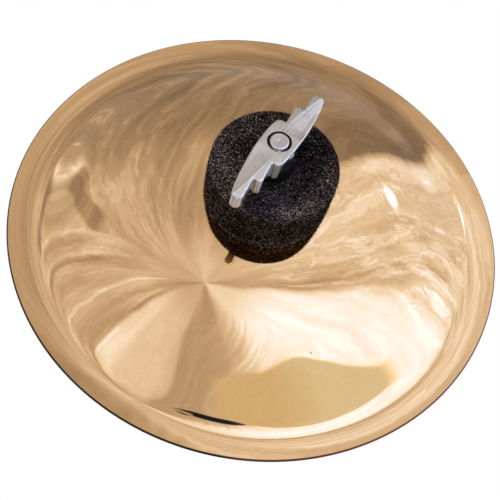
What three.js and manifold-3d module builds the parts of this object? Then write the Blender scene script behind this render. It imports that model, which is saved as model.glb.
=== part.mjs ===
// A bell cymbal on its threaded post, held between two felts by a wing nut.
// Millimetres, +Z up. The origin is on the axis, in the flat bottom face of the post.
import * as THREE from 'three';
import { mergeVertices } from 'three/addons/utils/BufferGeometryUtils.js';
import Module from 'manifold-3d';

const wasm = await Module();
wasm.setup();

// Clearances shared by all pieces
const runningGap = 0.3; // between two pieces that turn, slide or press on each other
const cutOverrun = 2; // how far a cutter reaches past what it cuts

// Bell cymbal
const rimRadius = 76.2; // six inches across
const crownHeight = 26.3; // top of the bell above the flat flange
const flangeWidth = 9.6; // from the rim in to where the bell's slope would meet it
const steepShare = 0.5; // share of the drop that comes late, near the knee
const kneeRise = 2; // how far the rounded knee stands over the sharp corner
const crownWall = 2.4;
const rimWall = 1.2;
const bellHoleRadius = 5.3;
const rimRounding = 0.35;

// Threads, drawn plain at their outer diameter
const studRadius = 3; // six millimetre rod
const standSocketRadius = 4.1; // takes the eight millimetre tip of a cymbal stand
const threadChamfer = 0.6;

// Mounting post
const postRadius = 7;
const postLength = 40;
const postChamfer = 0.8;
const standSocketDepth = 16;
const standSocketCone = 2.2; // height of the drill point at the socket's end
const studSocketDepth = 14;
const gripFloor = 4;
const gripLength = 16;
const gripTeeth = 30;
const gripToothDepth = 0.5;
const spannerFloor = 28;
const spannerLength = 8;
const spannerAcross = 12;

// Lock nut and seat washer
const lockNutHeight = 5;
const lockNutAcross = 10;
const lockNutCornerChamfer = 0.6;
const washerRadius = 12.5;
const washerThickness = 2;
const washerChamfer = 0.4;

// Felts
const lowerFeltRadius = 15;
const lowerFeltThickness = 8;
const upperFeltRadius = 19.4;
const upperFeltThickness = 15.5; // under the wing nut, which presses the felt in
const feltDishDepth = 1.1; // how far the felt's rim stands over its pressed middle
const feltDishInner = 7.4;
const feltDishOuter = 13;
const feltRounding = 1.2;

// Sleeve, a plastic tube that snaps into the foot of the wing nut
const sleeveWall = 1.2;
const sleeveLipReach = 0.4;
const sleeveLipHeight = 1.2;
const sleeveChamfer = 0.3;

// Wing nut
const wingNutHeight = 12.8;
const studReach = 0.4; // how far the stud stands over the wing nut
const wingNutFootRadius = 6.4;
const wingNutFootNeck = 5.3; // the foot's radius under the wings
const wingNutFootHeight = 6.4;
const wingNutFootChamfer = 0.5;
const wingReach = 22.8; // from the axis to the tip of a wing
const hubHalfWidth = 5.5;
const hubFlatReach = 3.8; // the flat round the hole
const wingUndersideHeight = 5.3; // above the foot's bottom face
const wingTipLift = 0.2; // how much higher the underside is at the tip
const wingTopDrop = 2; // how much lower the ridge is at the tip
const wingSmoothSideFall = 1; // from the ridge down to the wing's smooth side
const wingSteppedSideFall = 0.3; // from the ridge down to its stepped side
const wingFallShare = 0.2; // share of a wing over which the sides come to their full fall
const wingRidgeShift = 0.4; // how far the ridge lies towards the wing's smooth side
const wingTipSlope = 0.6; // length of the sloping end of a wing
const wingTipFall = 2.2; // how far the sloping end falls
const wingMouthRadius = 3.6;
const wingMouthDepth = 1.4;
const sleeveNeckHeight = 1.4; // depth of the foot's mouth below the snap groove
const wingTurn = THREE.MathUtils.degToRad(69); // where the wings point

// One wing seen from above: share of the reach along it, share of the half width across it
const wingPlanShares = [
  [0, -0.973], [0.254, -0.936], [0.461, -0.836], [0.658, -0.7], [0.825, -0.545],
  [0.947, -0.382], [0.982, -0.291], [1, -0.164], [1, 0.055], [0.982, 0.2], [0.947, 0.282],
  [0.895, 0.273], [0.636, 0.127], [0.649, 0.291], [0.647, 0.455], [0.627, 0.564],
  [0.592, 0.609], [0.548, 0.573], [0.316, 0.427], [0.316, 0.564], [0.309, 0.709],
  [0.289, 0.836], [0.263, 0.9], [0.211, 0.945], [0.105, 0.978],
];
const wingStationShares = [-1.02, -1, -0.974, -0.7, -0.35, 0, 0.35, 0.7, 0.974, 1, 1.02];

// Fineness of the round shapes
const bellSides = 96;
const feltSides = 48;
const metalSides = 36;
const bellStationShares = [0, 0.1, 0.2, 0.32, 0.44, 0.56, 0.67, 0.77, 0.86, 0.94];
const kneeStationShares = [-2, -1.2, -0.6, 0, 0.7, 1.6, 2.5];
const kneeReach = 3; // half the width of the knee, in which its stations lie

// Heights of the stack, from the post's bottom face up
const washerFloor = postLength + lockNutHeight;
const lowerFeltFloor = washerFloor + washerThickness + runningGap;
const crownUnderside = lowerFeltFloor + lowerFeltThickness + runningGap;
const crownTop = crownUnderside + crownWall;
const flangeTop = crownTop - crownHeight;
const upperFeltTop = crownTop + runningGap + upperFeltThickness;
const wingNutFloor = upperFeltTop + runningGap;
const studTop = wingNutFloor + wingNutHeight + studReach;
const studFloor = postLength - studSocketDepth + runningGap;

// Radii of the bell's foot and of the pieces on the stud
const bellRadius = rimRadius - flangeWidth;
const studBoreRadius = studRadius + runningGap;
const sleeveRadius = studBoreRadius + sleeveWall;
const sleeveLipRadius = sleeveRadius + sleeveLipReach;
const feltHoleRadius = sleeveRadius + runningGap;

// A closed mesh as a solid that can be cut and joined
function solidOf(geometry) {
  geometry.deleteAttribute('normal');
  geometry.deleteAttribute('uv');
  const welded = mergeVertices(geometry);
  const corners = welded.index.array;
  const kept = [];
  for (let i = 0; i < corners.length; i += 3) {
    const [a, b, c] = corners.slice(i, i + 3);
    if (a !== b && b !== c && c !== a) kept.push(a, b, c);
  }
  const mesh = new wasm.Mesh({
    numProp: 3,
    vertProperties: welded.attributes.position.array,
    triVerts: new Uint32Array(kept),
  });
  return new wasm.Manifold(mesh);
}

// A profile of [radius, height] pairs turned round the axis, anticlockwise with its outside rising
function turned(profile, sides) {
  const points = profile.map(([radius, height]) => new THREE.Vector2(radius, height));
  return solidOf(new THREE.LatheGeometry(points, sides).rotateX(Math.PI / 2));
}

// A solid disc or rod, for joining and cutting
function rod(radius, floor, top, sides = metalSides) {
  return turned([[0, floor], [radius, floor], [radius, top], [0, top]], sides);
}

// A tube with all four edges broken
function chamferedTube(inner, outer, floor, top, chamfer, sides = metalSides) {
  const profile = [
    [inner, floor + chamfer], [inner + chamfer, floor], [outer - chamfer, floor],
    [outer, floor + chamfer], [outer, top - chamfer], [outer - chamfer, top],
    [inner + chamfer, top], [inner, top - chamfer],
  ];
  profile.push(profile[0]);
  return turned(profile, sides);
}

// A flat outline of [x, y] pairs raised from floor to top
function raised(outline, floor, top) {
  const shape = new THREE.Shape(outline.map(([x, y]) => new THREE.Vector2(x, y)));
  const settings = { depth: top - floor, bevelEnabled: false };
  return solidOf(new THREE.ExtrudeGeometry(shape, settings).translate(0, 0, floor));
}

// The bell's outer face: a dome that flattens into the flange through a rounded knee
function domeAt(radius) {
  const share = radius / bellRadius;
  const early = (1 - steepShare) * share ** 2;
  const late = steepShare * share ** 4;
  return crownHeight * (1 - early - late);
}

function domeSlopeAt(radius) {
  const share = radius / bellRadius;
  return -crownHeight * (2 * (1 - steepShare) * share + 4 * steepShare * share ** 3) / bellRadius;
}

function skinAt(radius) {
  const dome = domeAt(radius);
  return flangeTop + (dome + Math.hypot(dome, 2 * kneeRise)) / 2;
}

function skinSlopeAt(radius) {
  const dome = domeAt(radius);
  return domeSlopeAt(radius) * (1 + dome / Math.hypot(dome, 2 * kneeRise)) / 2;
}

// A face at a given distance over the bell's outer face, measured square to it
function overSkinAt(radius, distance) {
  return skinAt(radius) + distance * Math.hypot(1, skinSlopeAt(radius));
}

function wallAt(radius) {
  return THREE.MathUtils.lerp(crownWall, rimWall, radius / rimRadius);
}

function stationsBetween(inner, outer, count) {
  return Array.from({ length: count + 1 }, (_, i) => THREE.MathUtils.lerp(inner, outer, i / count));
}

// Bell cymbal: one bowl of cast bronze, thick at the crown and thin at the rim
function bellCymbal() {
  const kneeFoot = bellRadius + kneeStationShares[0] * kneeReach;
  const radii = [
    ...bellStationShares.map((share) => THREE.MathUtils.lerp(bellHoleRadius, kneeFoot, share)),
    ...kneeStationShares.map((share) => bellRadius + share * kneeReach),
    rimRadius - rimRounding,
  ];
  const upper = radii.map((radius) => [radius, skinAt(radius)]);
  const lower = radii.map((radius) => [radius, overSkinAt(radius, -wallAt(radius))]);
  const rimTop = skinAt(rimRadius) - rimRounding;
  const rimBottom = overSkinAt(rimRadius, -wallAt(rimRadius)) + rimRounding;
  const profile = [...lower, [rimRadius, rimBottom], [rimRadius, rimTop], ...upper.reverse()];
  profile.push(profile[0]);
  return turned(profile, bellSides);
}

// Felts: thick washers whose face towards the bronze has taken its shape
function upperFelt() {
  const faceRadii = stationsBetween(feltHoleRadius, upperFeltRadius - feltRounding, 4);
  const face = faceRadii.map((radius) => [radius, overSkinAt(radius, runningGap)]);
  const edgeFloor = overSkinAt(upperFeltRadius, runningGap) + feltRounding;
  const rimTop = upperFeltTop + feltDishDepth;
  const profile = [
    ...face,
    [upperFeltRadius, edgeFloor],
    [upperFeltRadius, rimTop - feltRounding],
    [upperFeltRadius - feltRounding, rimTop],
    [feltDishOuter, rimTop],
    [feltDishInner, upperFeltTop],
    [feltHoleRadius, upperFeltTop],
  ];
  profile.push(profile[0]);
  return turned(profile, feltSides);
}

function lowerFelt() {
  const underBell = (radius) => overSkinAt(radius, -wallAt(radius) - runningGap);
  const faceRadii = stationsBetween(feltHoleRadius, lowerFeltRadius - feltRounding, 3);
  const face = faceRadii.map((radius) => [radius, underBell(radius)]);
  const profile = [
    [feltHoleRadius, lowerFeltFloor],
    [lowerFeltRadius - feltRounding, lowerFeltFloor],
    [lowerFeltRadius, lowerFeltFloor + feltRounding],
    [lowerFeltRadius, underBell(lowerFeltRadius) - feltRounding],
    ...face.reverse(),
  ];
  profile.push(profile[0]);
  return turned(profile, feltSides);
}

// Mounting post: screws onto the stand below and takes the stud above
function mountingPost() {
  const gripOutline = [];
  for (let tooth = 0; tooth < gripTeeth; tooth += 1) {
    const pitch = (2 * Math.PI) / gripTeeth;
    const radii = [postRadius - gripToothDepth, postRadius];
    radii.forEach((radius, half) => {
      const angle = (tooth + half / 2) * pitch;
      gripOutline.push([radius * Math.cos(angle), radius * Math.sin(angle)]);
    });
  }
  const gripTop = gripFloor + gripLength;
  const body = turned([
    [0, 0], [postRadius - postChamfer, 0], [postRadius, postChamfer],
    [postRadius, gripFloor], [postRadius - gripToothDepth, gripFloor],
    [postRadius - gripToothDepth, gripTop], [postRadius, gripTop],
    [postRadius, postLength - postChamfer], [postRadius - postChamfer, postLength],
    [0, postLength],
  ], metalSides);
  let post = body.add(raised(gripOutline, gripFloor, gripTop));

  const flat = new THREE.BoxGeometry(postRadius, 2 * postRadius + cutOverrun, spannerLength);
  for (const side of [-1, 1]) {
    const placed = flat.clone().translate(
      side * (spannerAcross + postRadius) / 2, 0, spannerFloor + spannerLength / 2,
    );
    post = post.subtract(solidOf(placed));
  }

  const standSocket = turned([
    [0, -cutOverrun], [standSocketRadius + threadChamfer, -cutOverrun],
    [standSocketRadius + threadChamfer, 0], [standSocketRadius, threadChamfer],
    [standSocketRadius, standSocketDepth - standSocketCone], [0, standSocketDepth],
  ], metalSides);
  const studSocket = turned([
    [0, postLength - studSocketDepth], [studBoreRadius, postLength - studSocketDepth],
    [studBoreRadius, postLength - threadChamfer],
    [studBoreRadius + threadChamfer, postLength],
    [studBoreRadius + threadChamfer, postLength + cutOverrun], [0, postLength + cutOverrun],
  ], metalSides);
  return post.subtract(standSocket).subtract(studSocket);
}

// Stud: a threaded rod that just comes through the wing nut
function stud() {
  return turned([
    [0, studFloor], [studRadius - threadChamfer, studFloor],
    [studRadius, studFloor + threadChamfer], [studRadius, studTop - threadChamfer],
    [studRadius - threadChamfer, studTop], [0, studTop],
  ], metalSides);
}

// Lock nut: jams the stud in the post. Its corners are turned off at both ends
function lockNut() {
  const cornerRadius = lockNutAcross / (2 * Math.cos(Math.PI / 6));
  const outline = Array.from({ length: 6 }, (_, i) => {
    const angle = (i * Math.PI) / 3;
    return [cornerRadius * Math.cos(angle), cornerRadius * Math.sin(angle)];
  });
  const hexagon = raised(outline, postLength, washerFloor);
  const turnedCorners = turned([
    [0, postLength], [cornerRadius - lockNutCornerChamfer, postLength],
    [cornerRadius, postLength + lockNutCornerChamfer],
    [cornerRadius, washerFloor - lockNutCornerChamfer],
    [cornerRadius - lockNutCornerChamfer, washerFloor], [0, washerFloor],
  ], metalSides);
  const bore = rod(studBoreRadius, postLength - cutOverrun, washerFloor + cutOverrun);
  return hexagon.intersect(turnedCorners).subtract(bore);
}

function seatWasher() {
  const top = washerFloor + washerThickness;
  return chamferedTube(studBoreRadius, washerRadius, washerFloor, top, washerChamfer);
}

// Sleeve: keeps the bronze and the felts off the stud's thread
function sleeve() {
  const floor = washerFloor + washerThickness + runningGap;
  const lipFloor = wingNutFloor + sleeveNeckHeight + runningGap;
  const top = lipFloor + sleeveLipHeight;
  const profile = [
    [studBoreRadius, floor], [sleeveRadius - sleeveChamfer, floor],
    [sleeveRadius, floor + sleeveChamfer], [sleeveRadius, lipFloor],
    [sleeveLipRadius, lipFloor], [sleeveLipRadius, top - sleeveChamfer],
    [sleeveLipRadius - sleeveChamfer, top], [studBoreRadius, top],
  ];
  profile.push(profile[0]);
  return turned(profile, metalSides);
}

// The space between the wings' underside and their roof, which has a ridge along the middle
function wingRoof() {
  const positions = [];
  const corners = [];
  const rings = wingStationShares.map((share) => {
    const along = share * wingReach;
    const past = Math.max(0, Math.abs(along) - hubFlatReach) / (wingReach - hubFlatReach);
    const atTip = Math.max(0, Math.abs(along) - wingReach + wingTipSlope) / wingTipSlope;
    const floor = wingUndersideHeight + wingTipLift * past;
    const ridge = wingNutHeight - wingTopDrop * past - wingTipFall * atTip;
    const spread = Math.min(1, past / wingFallShare);
    const lowest = floor + runningGap;
    const smoothEdge = Math.max(ridge - wingSmoothSideFall * spread, lowest);
    const steppedEdge = Math.max(ridge - wingSteppedSideFall * spread, lowest);
    const [left, right] = along > 0 ? [smoothEdge, steppedEdge] : [steppedEdge, smoothEdge];
    const ridgeLine = -wingRidgeShift * Math.sign(along);
    const half = hubHalfWidth + cutOverrun;
    return [[-half, floor], [half, floor], [half, right], [ridgeLine, ridge], [-half, left]]
      .map(([across, height]) => [along, across, height]);
  });
  rings.flat().forEach((point) => positions.push(...point));
  const count = rings[0].length;
  for (let ring = 0; ring < rings.length - 1; ring += 1) {
    for (let i = 0; i < count; i += 1) {
      const a = ring * count + i;
      const b = ring * count + ((i + 1) % count);
      corners.push(a, b, b + count, a, b + count, a + count);
    }
  }
  const last = (rings.length - 1) * count;
  for (let i = 1; i < count - 1; i += 1) {
    corners.push(0, i + 1, i, last, last + i, last + i + 1);
  }
  const geometry = new THREE.BufferGeometry();
  geometry.setAttribute('position', new THREE.Float32BufferAttribute(positions, 3));
  geometry.setIndex(corners);
  return solidOf(geometry);
}

// Wing nut: a zinc casting with two stepped wings
function wingNut() {
  const wing = wingPlanShares.map(([along, across]) => [along * wingReach, across * hubHalfWidth]);
  const plan = [...wing, ...wing.map(([along, across]) => [-along, -across])];
  const wings = raised(plan, 0, wingNutHeight).intersect(wingRoof());
  const foot = turned([
    [0, 0], [wingNutFootRadius - wingNutFootChamfer, 0],
    [wingNutFootRadius, wingNutFootChamfer],
    [wingNutFootNeck, wingNutFootHeight], [0, wingNutFootHeight],
  ], metalSides);
  const mouthFloor = wingNutHeight - wingMouthDepth;
  const bore = turned([
    [0, -cutOverrun], [studBoreRadius, -cutOverrun], [studBoreRadius, mouthFloor],
    [wingMouthRadius, wingNutHeight], [wingMouthRadius, wingNutHeight + cutOverrun],
    [0, wingNutHeight + cutOverrun],
  ], metalSides);
  const neck = rod(sleeveRadius + runningGap, -cutOverrun, sleeveNeckHeight);
  const grooveTop = sleeveNeckHeight + sleeveLipHeight + 2 * runningGap;
  const groove = rod(sleeveLipRadius + runningGap, sleeveNeckHeight, grooveTop);
  return wings.add(foot).subtract(bore).subtract(neck.add(groove));
}

// Finishes
const bronze = new THREE.MeshStandardMaterial({ color: '#cfa878', roughness: 0.12, metalness: 1 });
const felt = new THREE.MeshStandardMaterial({ color: '#2a2829', roughness: 1, metalness: 0 });
const zinc = new THREE.MeshStandardMaterial({ color: '#c6bebd', roughness: 0.35, metalness: 1 });
const steel = new THREE.MeshStandardMaterial({ color: '#b4b5b8', roughness: 0.25, metalness: 1 });
const nylon = new THREE.MeshStandardMaterial({ color: '#17171a', roughness: 0.5, metalness: 0 });

function pieceOf(name, solid, material) {
  const shape = solid.getMesh();
  const geometry = new THREE.BufferGeometry();
  geometry.setAttribute('position', new THREE.BufferAttribute(shape.vertProperties, 3));
  geometry.setIndex(new THREE.BufferAttribute(shape.triVerts, 1));
  geometry.computeVertexNormals();
  const piece = new THREE.Mesh(geometry, material);
  piece.name = name;
  return piece;
}

const group = new THREE.Group();
group.add(
  pieceOf('mounting_post', mountingPost(), steel),
  pieceOf('stud', stud(), steel),
  pieceOf('lock_nut', lockNut(), steel),
  pieceOf('seat_washer', seatWasher(), steel),
  pieceOf('lower_felt', lowerFelt(), felt),
  pieceOf('bell_cymbal', bellCymbal(), bronze),
  pieceOf('upper_felt', upperFelt(), felt),
  pieceOf('sleeve', sleeve(), nylon),
);

const nut = pieceOf('wing_nut', wingNut(), zinc);
nut.position.z = wingNutFloor;
nut.rotation.z = wingTurn;
group.add(nut);

export default group;
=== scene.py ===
# %% [markdown]
# # A bell cymbal between its felts
#
# The real object is a six inch bowl of cast bronze on a threaded post. A felt lies on each side of it,
# and a wing nut squeezes the stack. The imported model gives the frame: every piece made here takes the
# place of one of its nodes, at the same place and size. The bell, the wing nut and the hardware ride on
# the same moving bodies as their nodes; the felts and their fibres stay where they are made.

# %% Load the imported model
import math

import bmesh
import bpy
from mathutils import Matrix, Vector


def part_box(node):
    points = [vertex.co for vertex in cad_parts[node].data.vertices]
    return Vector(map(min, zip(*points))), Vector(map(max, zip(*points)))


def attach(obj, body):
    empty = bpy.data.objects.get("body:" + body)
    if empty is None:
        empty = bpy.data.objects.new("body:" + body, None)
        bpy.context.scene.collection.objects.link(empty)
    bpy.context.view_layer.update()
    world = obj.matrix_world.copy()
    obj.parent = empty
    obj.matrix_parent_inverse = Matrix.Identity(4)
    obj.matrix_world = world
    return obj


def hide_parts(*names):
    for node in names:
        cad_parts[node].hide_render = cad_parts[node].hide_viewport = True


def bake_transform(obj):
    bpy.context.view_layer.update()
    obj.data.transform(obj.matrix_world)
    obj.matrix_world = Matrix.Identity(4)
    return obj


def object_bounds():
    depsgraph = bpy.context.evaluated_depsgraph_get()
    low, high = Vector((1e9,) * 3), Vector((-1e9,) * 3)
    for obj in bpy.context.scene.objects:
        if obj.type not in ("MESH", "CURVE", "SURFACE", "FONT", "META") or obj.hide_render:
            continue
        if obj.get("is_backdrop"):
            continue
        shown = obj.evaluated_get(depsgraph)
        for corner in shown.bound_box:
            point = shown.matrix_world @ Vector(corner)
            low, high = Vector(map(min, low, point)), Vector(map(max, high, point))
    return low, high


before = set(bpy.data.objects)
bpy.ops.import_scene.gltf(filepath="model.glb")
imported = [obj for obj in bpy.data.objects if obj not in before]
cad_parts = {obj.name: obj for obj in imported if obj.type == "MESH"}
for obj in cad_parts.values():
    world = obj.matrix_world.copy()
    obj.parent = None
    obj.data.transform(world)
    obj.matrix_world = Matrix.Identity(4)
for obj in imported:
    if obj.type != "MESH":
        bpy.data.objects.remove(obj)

MM = 0.001


def shown(corners):
    """The corners of a box in millimetres, for printing."""
    return [[round(side / MM, 1) for side in corner] for corner in corners]


cad_box = [list(corner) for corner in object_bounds()]
print("nodes", sorted(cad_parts))
print("box", shown(cad_box), "mm")

# %% [markdown]
# Sums on the sockets of a node tree are long when each Math node is added by hand. A small class that
# wraps a socket and answers to plus, minus and times lets a rule be written as it is read. The same
# class serves materials, the studio's light and Geometry Nodes, because all three have the Math node.

# %% Sums on sockets
class Wire:
    """An output socket that can stand in a sum like a number."""

    def __init__(self, bench, socket):
        self.bench = bench
        self.socket = socket

    def __add__(self, other):
        return self.bench.math("ADD", self, other)

    def __radd__(self, other):
        return self.bench.math("ADD", other, self)

    def __sub__(self, other):
        return self.bench.math("SUBTRACT", self, other)

    def __rsub__(self, other):
        return self.bench.math("SUBTRACT", other, self)

    def __mul__(self, other):
        return self.bench.math("MULTIPLY", self, other)

    def __rmul__(self, other):
        return self.bench.math("MULTIPLY", other, self)

    def __truediv__(self, other):
        return self.bench.math("DIVIDE", self, other)

    def __rtruediv__(self, other):
        return self.bench.math("DIVIDE", other, self)

    def __pow__(self, other):
        return self.bench.math("POWER", self, other)

    def __abs__(self):
        return self.bench.math("ABSOLUTE", self)


class Bench:
    """A node tree being filled. Every node comes from add()."""

    def __init__(self, tree):
        self.tree = tree
        tree.nodes.clear()

    def add(self, kind, settings=(), inputs=(), output=0):
        """One node. Gives the wire of the named output, of several as a tuple, or the node for None."""
        node = self.tree.nodes.new(kind)
        for name, value in dict(settings).items():
            if name == "stops":
                self.set_stops(node.color_ramp, value)
            else:
                setattr(node, name, value)
        for key, value in dict(inputs).items():
            self.feed(self.find(node.inputs, key), value)
        if output is None:
            return node
        if isinstance(output, tuple):
            return tuple(Wire(self, self.find(node.outputs, key)) for key in output)
        return Wire(self, self.find(node.outputs, output))

    @staticmethod
    def set_stops(ramp, stops):
        while len(ramp.elements) < len(stops):
            ramp.elements.new(0.5)
        for element, (place, shade) in zip(ramp.elements, stops):
            element.position = place
            element.color = (*shade, 1)

    @staticmethod
    def find(sockets, key):
        """A socket by its place, its identifier or its name."""
        if isinstance(key, int):
            return sockets[key]
        for socket in sockets:
            if socket.identifier == key:
                return socket
        return next(socket for socket in sockets if socket.name == key and socket.enabled)

    def feed(self, socket, value):
        if isinstance(value, Wire):
            self.tree.links.new(value.socket, socket)
        elif socket.type == "RGBA":
            socket.default_value = (*value, 1)
        else:
            socket.default_value = value

    def math(self, operation, *terms):
        return self.add("ShaderNodeMath", {"operation": operation}, dict(enumerate(terms)))

    def vector(self, operation, *terms, output="Vector"):
        return self.add("ShaderNodeVectorMath", {"operation": operation}, dict(enumerate(terms)), output)

    def scaled(self, arrow, size):
        """A vector made longer, or a colour made brighter."""
        inputs = {"Vector": arrow, "Scale": size}
        return self.add("ShaderNodeVectorMath", {"operation": "SCALE"}, inputs, "Vector")

    def from_axis(self, x, y):
        """How far a spot is from the upright axis."""
        return self.math("SQRT", x * x + y * y)

    def random(self, low, high, seed):
        """A random number for each point or instance."""
        inputs = {"Min_001": low, "Max_001": high, "Seed": seed}
        return self.add("FunctionNodeRandomValue", {"data_type": "FLOAT"}, inputs, "Value_001")

    def ease(self, value, low, high):
        """0 below low and 1 above high, with a soft start and end."""
        inputs = {"Value": value, "From Min": low, "From Max": high}
        return self.add("ShaderNodeMapRange", {"interpolation_type": "SMOOTHSTEP"}, inputs, "Result")

    def between(self, value, low, high, soft):
        """1 between low and high, falling to 0 on both sides."""
        return self.ease(value, low - soft, low + soft) * (1 - self.ease(value, high - soft, high + soft))

    def pulse(self, value, centre, width):
        """A soft ridge of height 1 at centre."""
        away = (value - centre) / width
        return self.math("EXPONENT", away * away * -1)

    def mix(self, factor, first, second):
        """Between two numbers."""
        inputs = {"Factor_Float": factor, "A_Float": first, "B_Float": second}
        return self.add("ShaderNodeMix", {"data_type": "FLOAT"}, inputs, "Result_Float")

    def tint(self, factor, first, second):
        """Between two colours."""
        inputs = {"Factor_Float": factor, "A_Color": first, "B_Color": second}
        return self.add("ShaderNodeMix", {"data_type": "RGBA"}, inputs, "Result_Color")

    def coats(self, colour, *coats):
        """Shades laid over a colour one after another, each as far as its mask says."""
        for mask, shade in coats:
            colour = self.tint(mask, colour, shade)
        return colour

    def noise(self, place, scale, detail=2.0, roughness=0.5):
        inputs = {"Vector": place, "Scale": scale, "Detail": detail, "Roughness": roughness}
        return self.add("ShaderNodeTexNoise", {"noise_dimensions": "3D"}, inputs, "Fac")

    def join(self, x=0.0, y=0.0, z=0.0):
        return self.add("ShaderNodeCombineXYZ", (), {"X": x, "Y": y, "Z": z}, "Vector")

    def split(self, place):
        return self.add("ShaderNodeSeparateXYZ", (), {"Vector": place}, ("X", "Y", "Z"))


print("benches ready")

# %% [markdown]
# The photograph looks down on the rim plane from 57 degrees, with the camera rolled by 15 degrees. A
# long lens from 0.8 m keeps the near and the far half of the rim nearly the same size. The camera looks
# at the rim's centre, and a small shift puts that centre where the photograph has it. A camera looks
# along its own -Z, so its axes are worked out from its rise and roll and set as a matrix.

# %% Camera
RIM_HEIGHT = 31.7 * MM
CAMERA_DISTANCE = 0.8
CAMERA_RISE = math.radians(57.37)
CAMERA_ROLL = math.radians(14.8)
FOCAL_LENGTH = 186.2
SENSOR_WIDTH = 36
SHIFT = -0.0070, -0.0194

lens = bpy.data.cameras.new("camera")
lens.sensor_width = SENSOR_WIDTH
lens.lens = FOCAL_LENGTH
lens.shift_x, lens.shift_y = SHIFT
lens.clip_start, lens.clip_end = 0.01, 20
camera = bpy.data.objects.new("camera", lens)
bpy.context.scene.collection.objects.link(camera)
bpy.context.scene.camera = camera

back = Vector((0, -math.cos(CAMERA_RISE), math.sin(CAMERA_RISE)))
level_up = Vector((0, math.sin(CAMERA_RISE), math.cos(CAMERA_RISE)))
right = Vector((1, 0, 0)) * math.cos(CAMERA_ROLL) + level_up * math.sin(CAMERA_ROLL)
up = back.cross(right)
turned_axes = Matrix((right, up, back)).transposed().to_4x4()
place = Vector((0, 0, RIM_HEIGHT)) + back * CAMERA_DISTANCE
camera.matrix_world = Matrix.Translation(place) @ turned_axes
print("camera at", shown([place]), "mm")

# %% [markdown]
# Polished bronze shows hardly anything of its own: it shows the room. Such things are photographed in
# a light tent, a cone of thin cloth, and the cloth's folds, its bright panel and the gaps are what the
# bronze mirrors. So the world here is that tent. Each direction gets two angles, the turn round the
# tent's peak and the tilt down from it, and rules in these two angles lay out the panels and folds.
# The camera itself sees plain white past the object.

# %% Directions in the light tent
world = bpy.data.worlds.new("light_tent")
bpy.context.scene.world = world
world.use_nodes = True
tent = Bench(world.node_tree)

# The tent leans a little, so its peak isn't straight above the bell
TENT_PEAK = (-0.194, -0.0273, 0.9806)
TENT_EAST = (0.981, -0.0054, 0.194)
TENT_NORTH = (0.0, 0.9996, 0.0278)

heading = tent.add("ShaderNodeTexCoord", output="Generated")
toward_peak = tent.vector("DOT_PRODUCT", heading, TENT_PEAK, output="Value")
toward_east = tent.vector("DOT_PRODUCT", heading, TENT_EAST, output="Value")
toward_north = tent.vector("DOT_PRODUCT", heading, TENT_NORTH, output="Value")
plain_tilt = tent.math("DEGREES", tent.math("ARCCOSINE", toward_peak))
plain_turn = tent.math("DEGREES", tent.math("ARCTAN2", toward_north, toward_east))

# The cloth hangs unevenly, so both angles wander a little
wander = tent.noise(heading, 2.3, 2) - 0.5
ripple = tent.noise(heading, 9.0, 2) - 0.5
turn = plain_turn + wander * 5 + ripple * 3
tilt = plain_tilt + (tent.noise(heading, 3.1, 1) - 0.5) * 6
print("tent peak", TENT_PEAK)

# %% [markdown]
# A cone of cloth is sewn from gores, long wedges that meet at the peak. Light falls on some of them from
# outside, and others hang in the shade. A colour ramp serves as a table here: it holds one stop for each
# gore or seam, and its three channels hold the brightness near the peak, half way down and at the skirt.

# %% Gores
# Turn in degrees, then the brightness near the peak, half way down and at the skirt
GORES = (
    (-180, 0.76, 0.78, 0.84), (-166, 0.64, 0.78, 0.80), (-156, 0.48, 0.70, 0.70), (-145, 0.60, 0.66, 0.66),
    (-142, 0.68, 1.14, 1.40), (-137, 0.70, 1.30, 1.46), (-130, 0.72, 1.02, 1.12), (-104, 0.76, 0.90, 0.96),
    (-101, 0.74, 0.54, 0.57), (-86, 0.52, 0.56, 0.62), (-73, 0.54, 0.64, 0.78), (-62, 0.90, 0.92, 0.90),
    (-50, 1.20, 1.38, 1.14), (-36, 1.20, 1.62, 1.54), (-18, 1.15, 1.80, 1.66), (2, 1.18, 1.70, 1.62),
    (13, 0.80, 1.64, 1.55), (16, 0.68, 0.76, 1.08), (26, 0.58, 0.78, 0.98), (38, 0.80, 1.02, 0.84),
    (48, 0.86, 0.96, 0.96), (65, 0.78, 0.98, 1.12), (67.5, 0.80, 0.68, 0.31), (80, 0.98, 0.46, 0.32),
    (98, 1.02, 0.62, 0.35), (116, 0.80, 0.56, 0.39), (134, 0.86, 0.73, 0.50), (148, 0.76, 0.68, 0.66),
    (158, 0.70, 0.66, 0.72), (170, 0.74, 0.76, 0.78),
)
BRIGHTEST = 2.0
# The seams on the right lean further round the lower they are
lean = 17 * tent.math("MAXIMUM", tilt / 100, 0.0) ** 2.5 * tent.between(turn, -20, 44, 10)
around = (turn - lean + 180) / 360
stops = [
    ((degrees + 180) / 360, tuple(level / BRIGHTEST for level in levels))
    for degrees, *levels in GORES
]
gores = tent.add("ShaderNodeValToRGB", {"stops": stops}, {"Fac": around}, "Color")
near_peak, half_way, near_skirt = tent.split(gores)
light = tent.mix(tent.ease(tilt, 6, 26), near_peak, half_way)
light = tent.mix(tent.ease(tilt, 40, 64), light, near_skirt) * BRIGHTEST

# One wide cloth on the left of the bright panel hangs closer and browner
ochre_edge = 45 + 32 * tent.ease(plain_turn, -36, -4)
ochre = tent.ease(tilt - ochre_edge, -1, 2) * tent.between(turn, -80, -6, 5)
ochre = ochre * (1 - tent.ease(plain_tilt, 92, 100))
light = tent.mix(ochre, light, 0.76)
print(len(GORES), "gores and seams")

# %% [markdown]
# Cloth that hangs from a peak falls into folds that run down from it. Noise that changes fast with the
# turn and slowly with the tilt draws them, and its turn goes in as a cosine and a sine, so the two ends
# of the circle meet. Thin bright and dark lines lie where the noise crosses a level, as on a real crease.
# The creases that show best are placed one by one.

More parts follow.
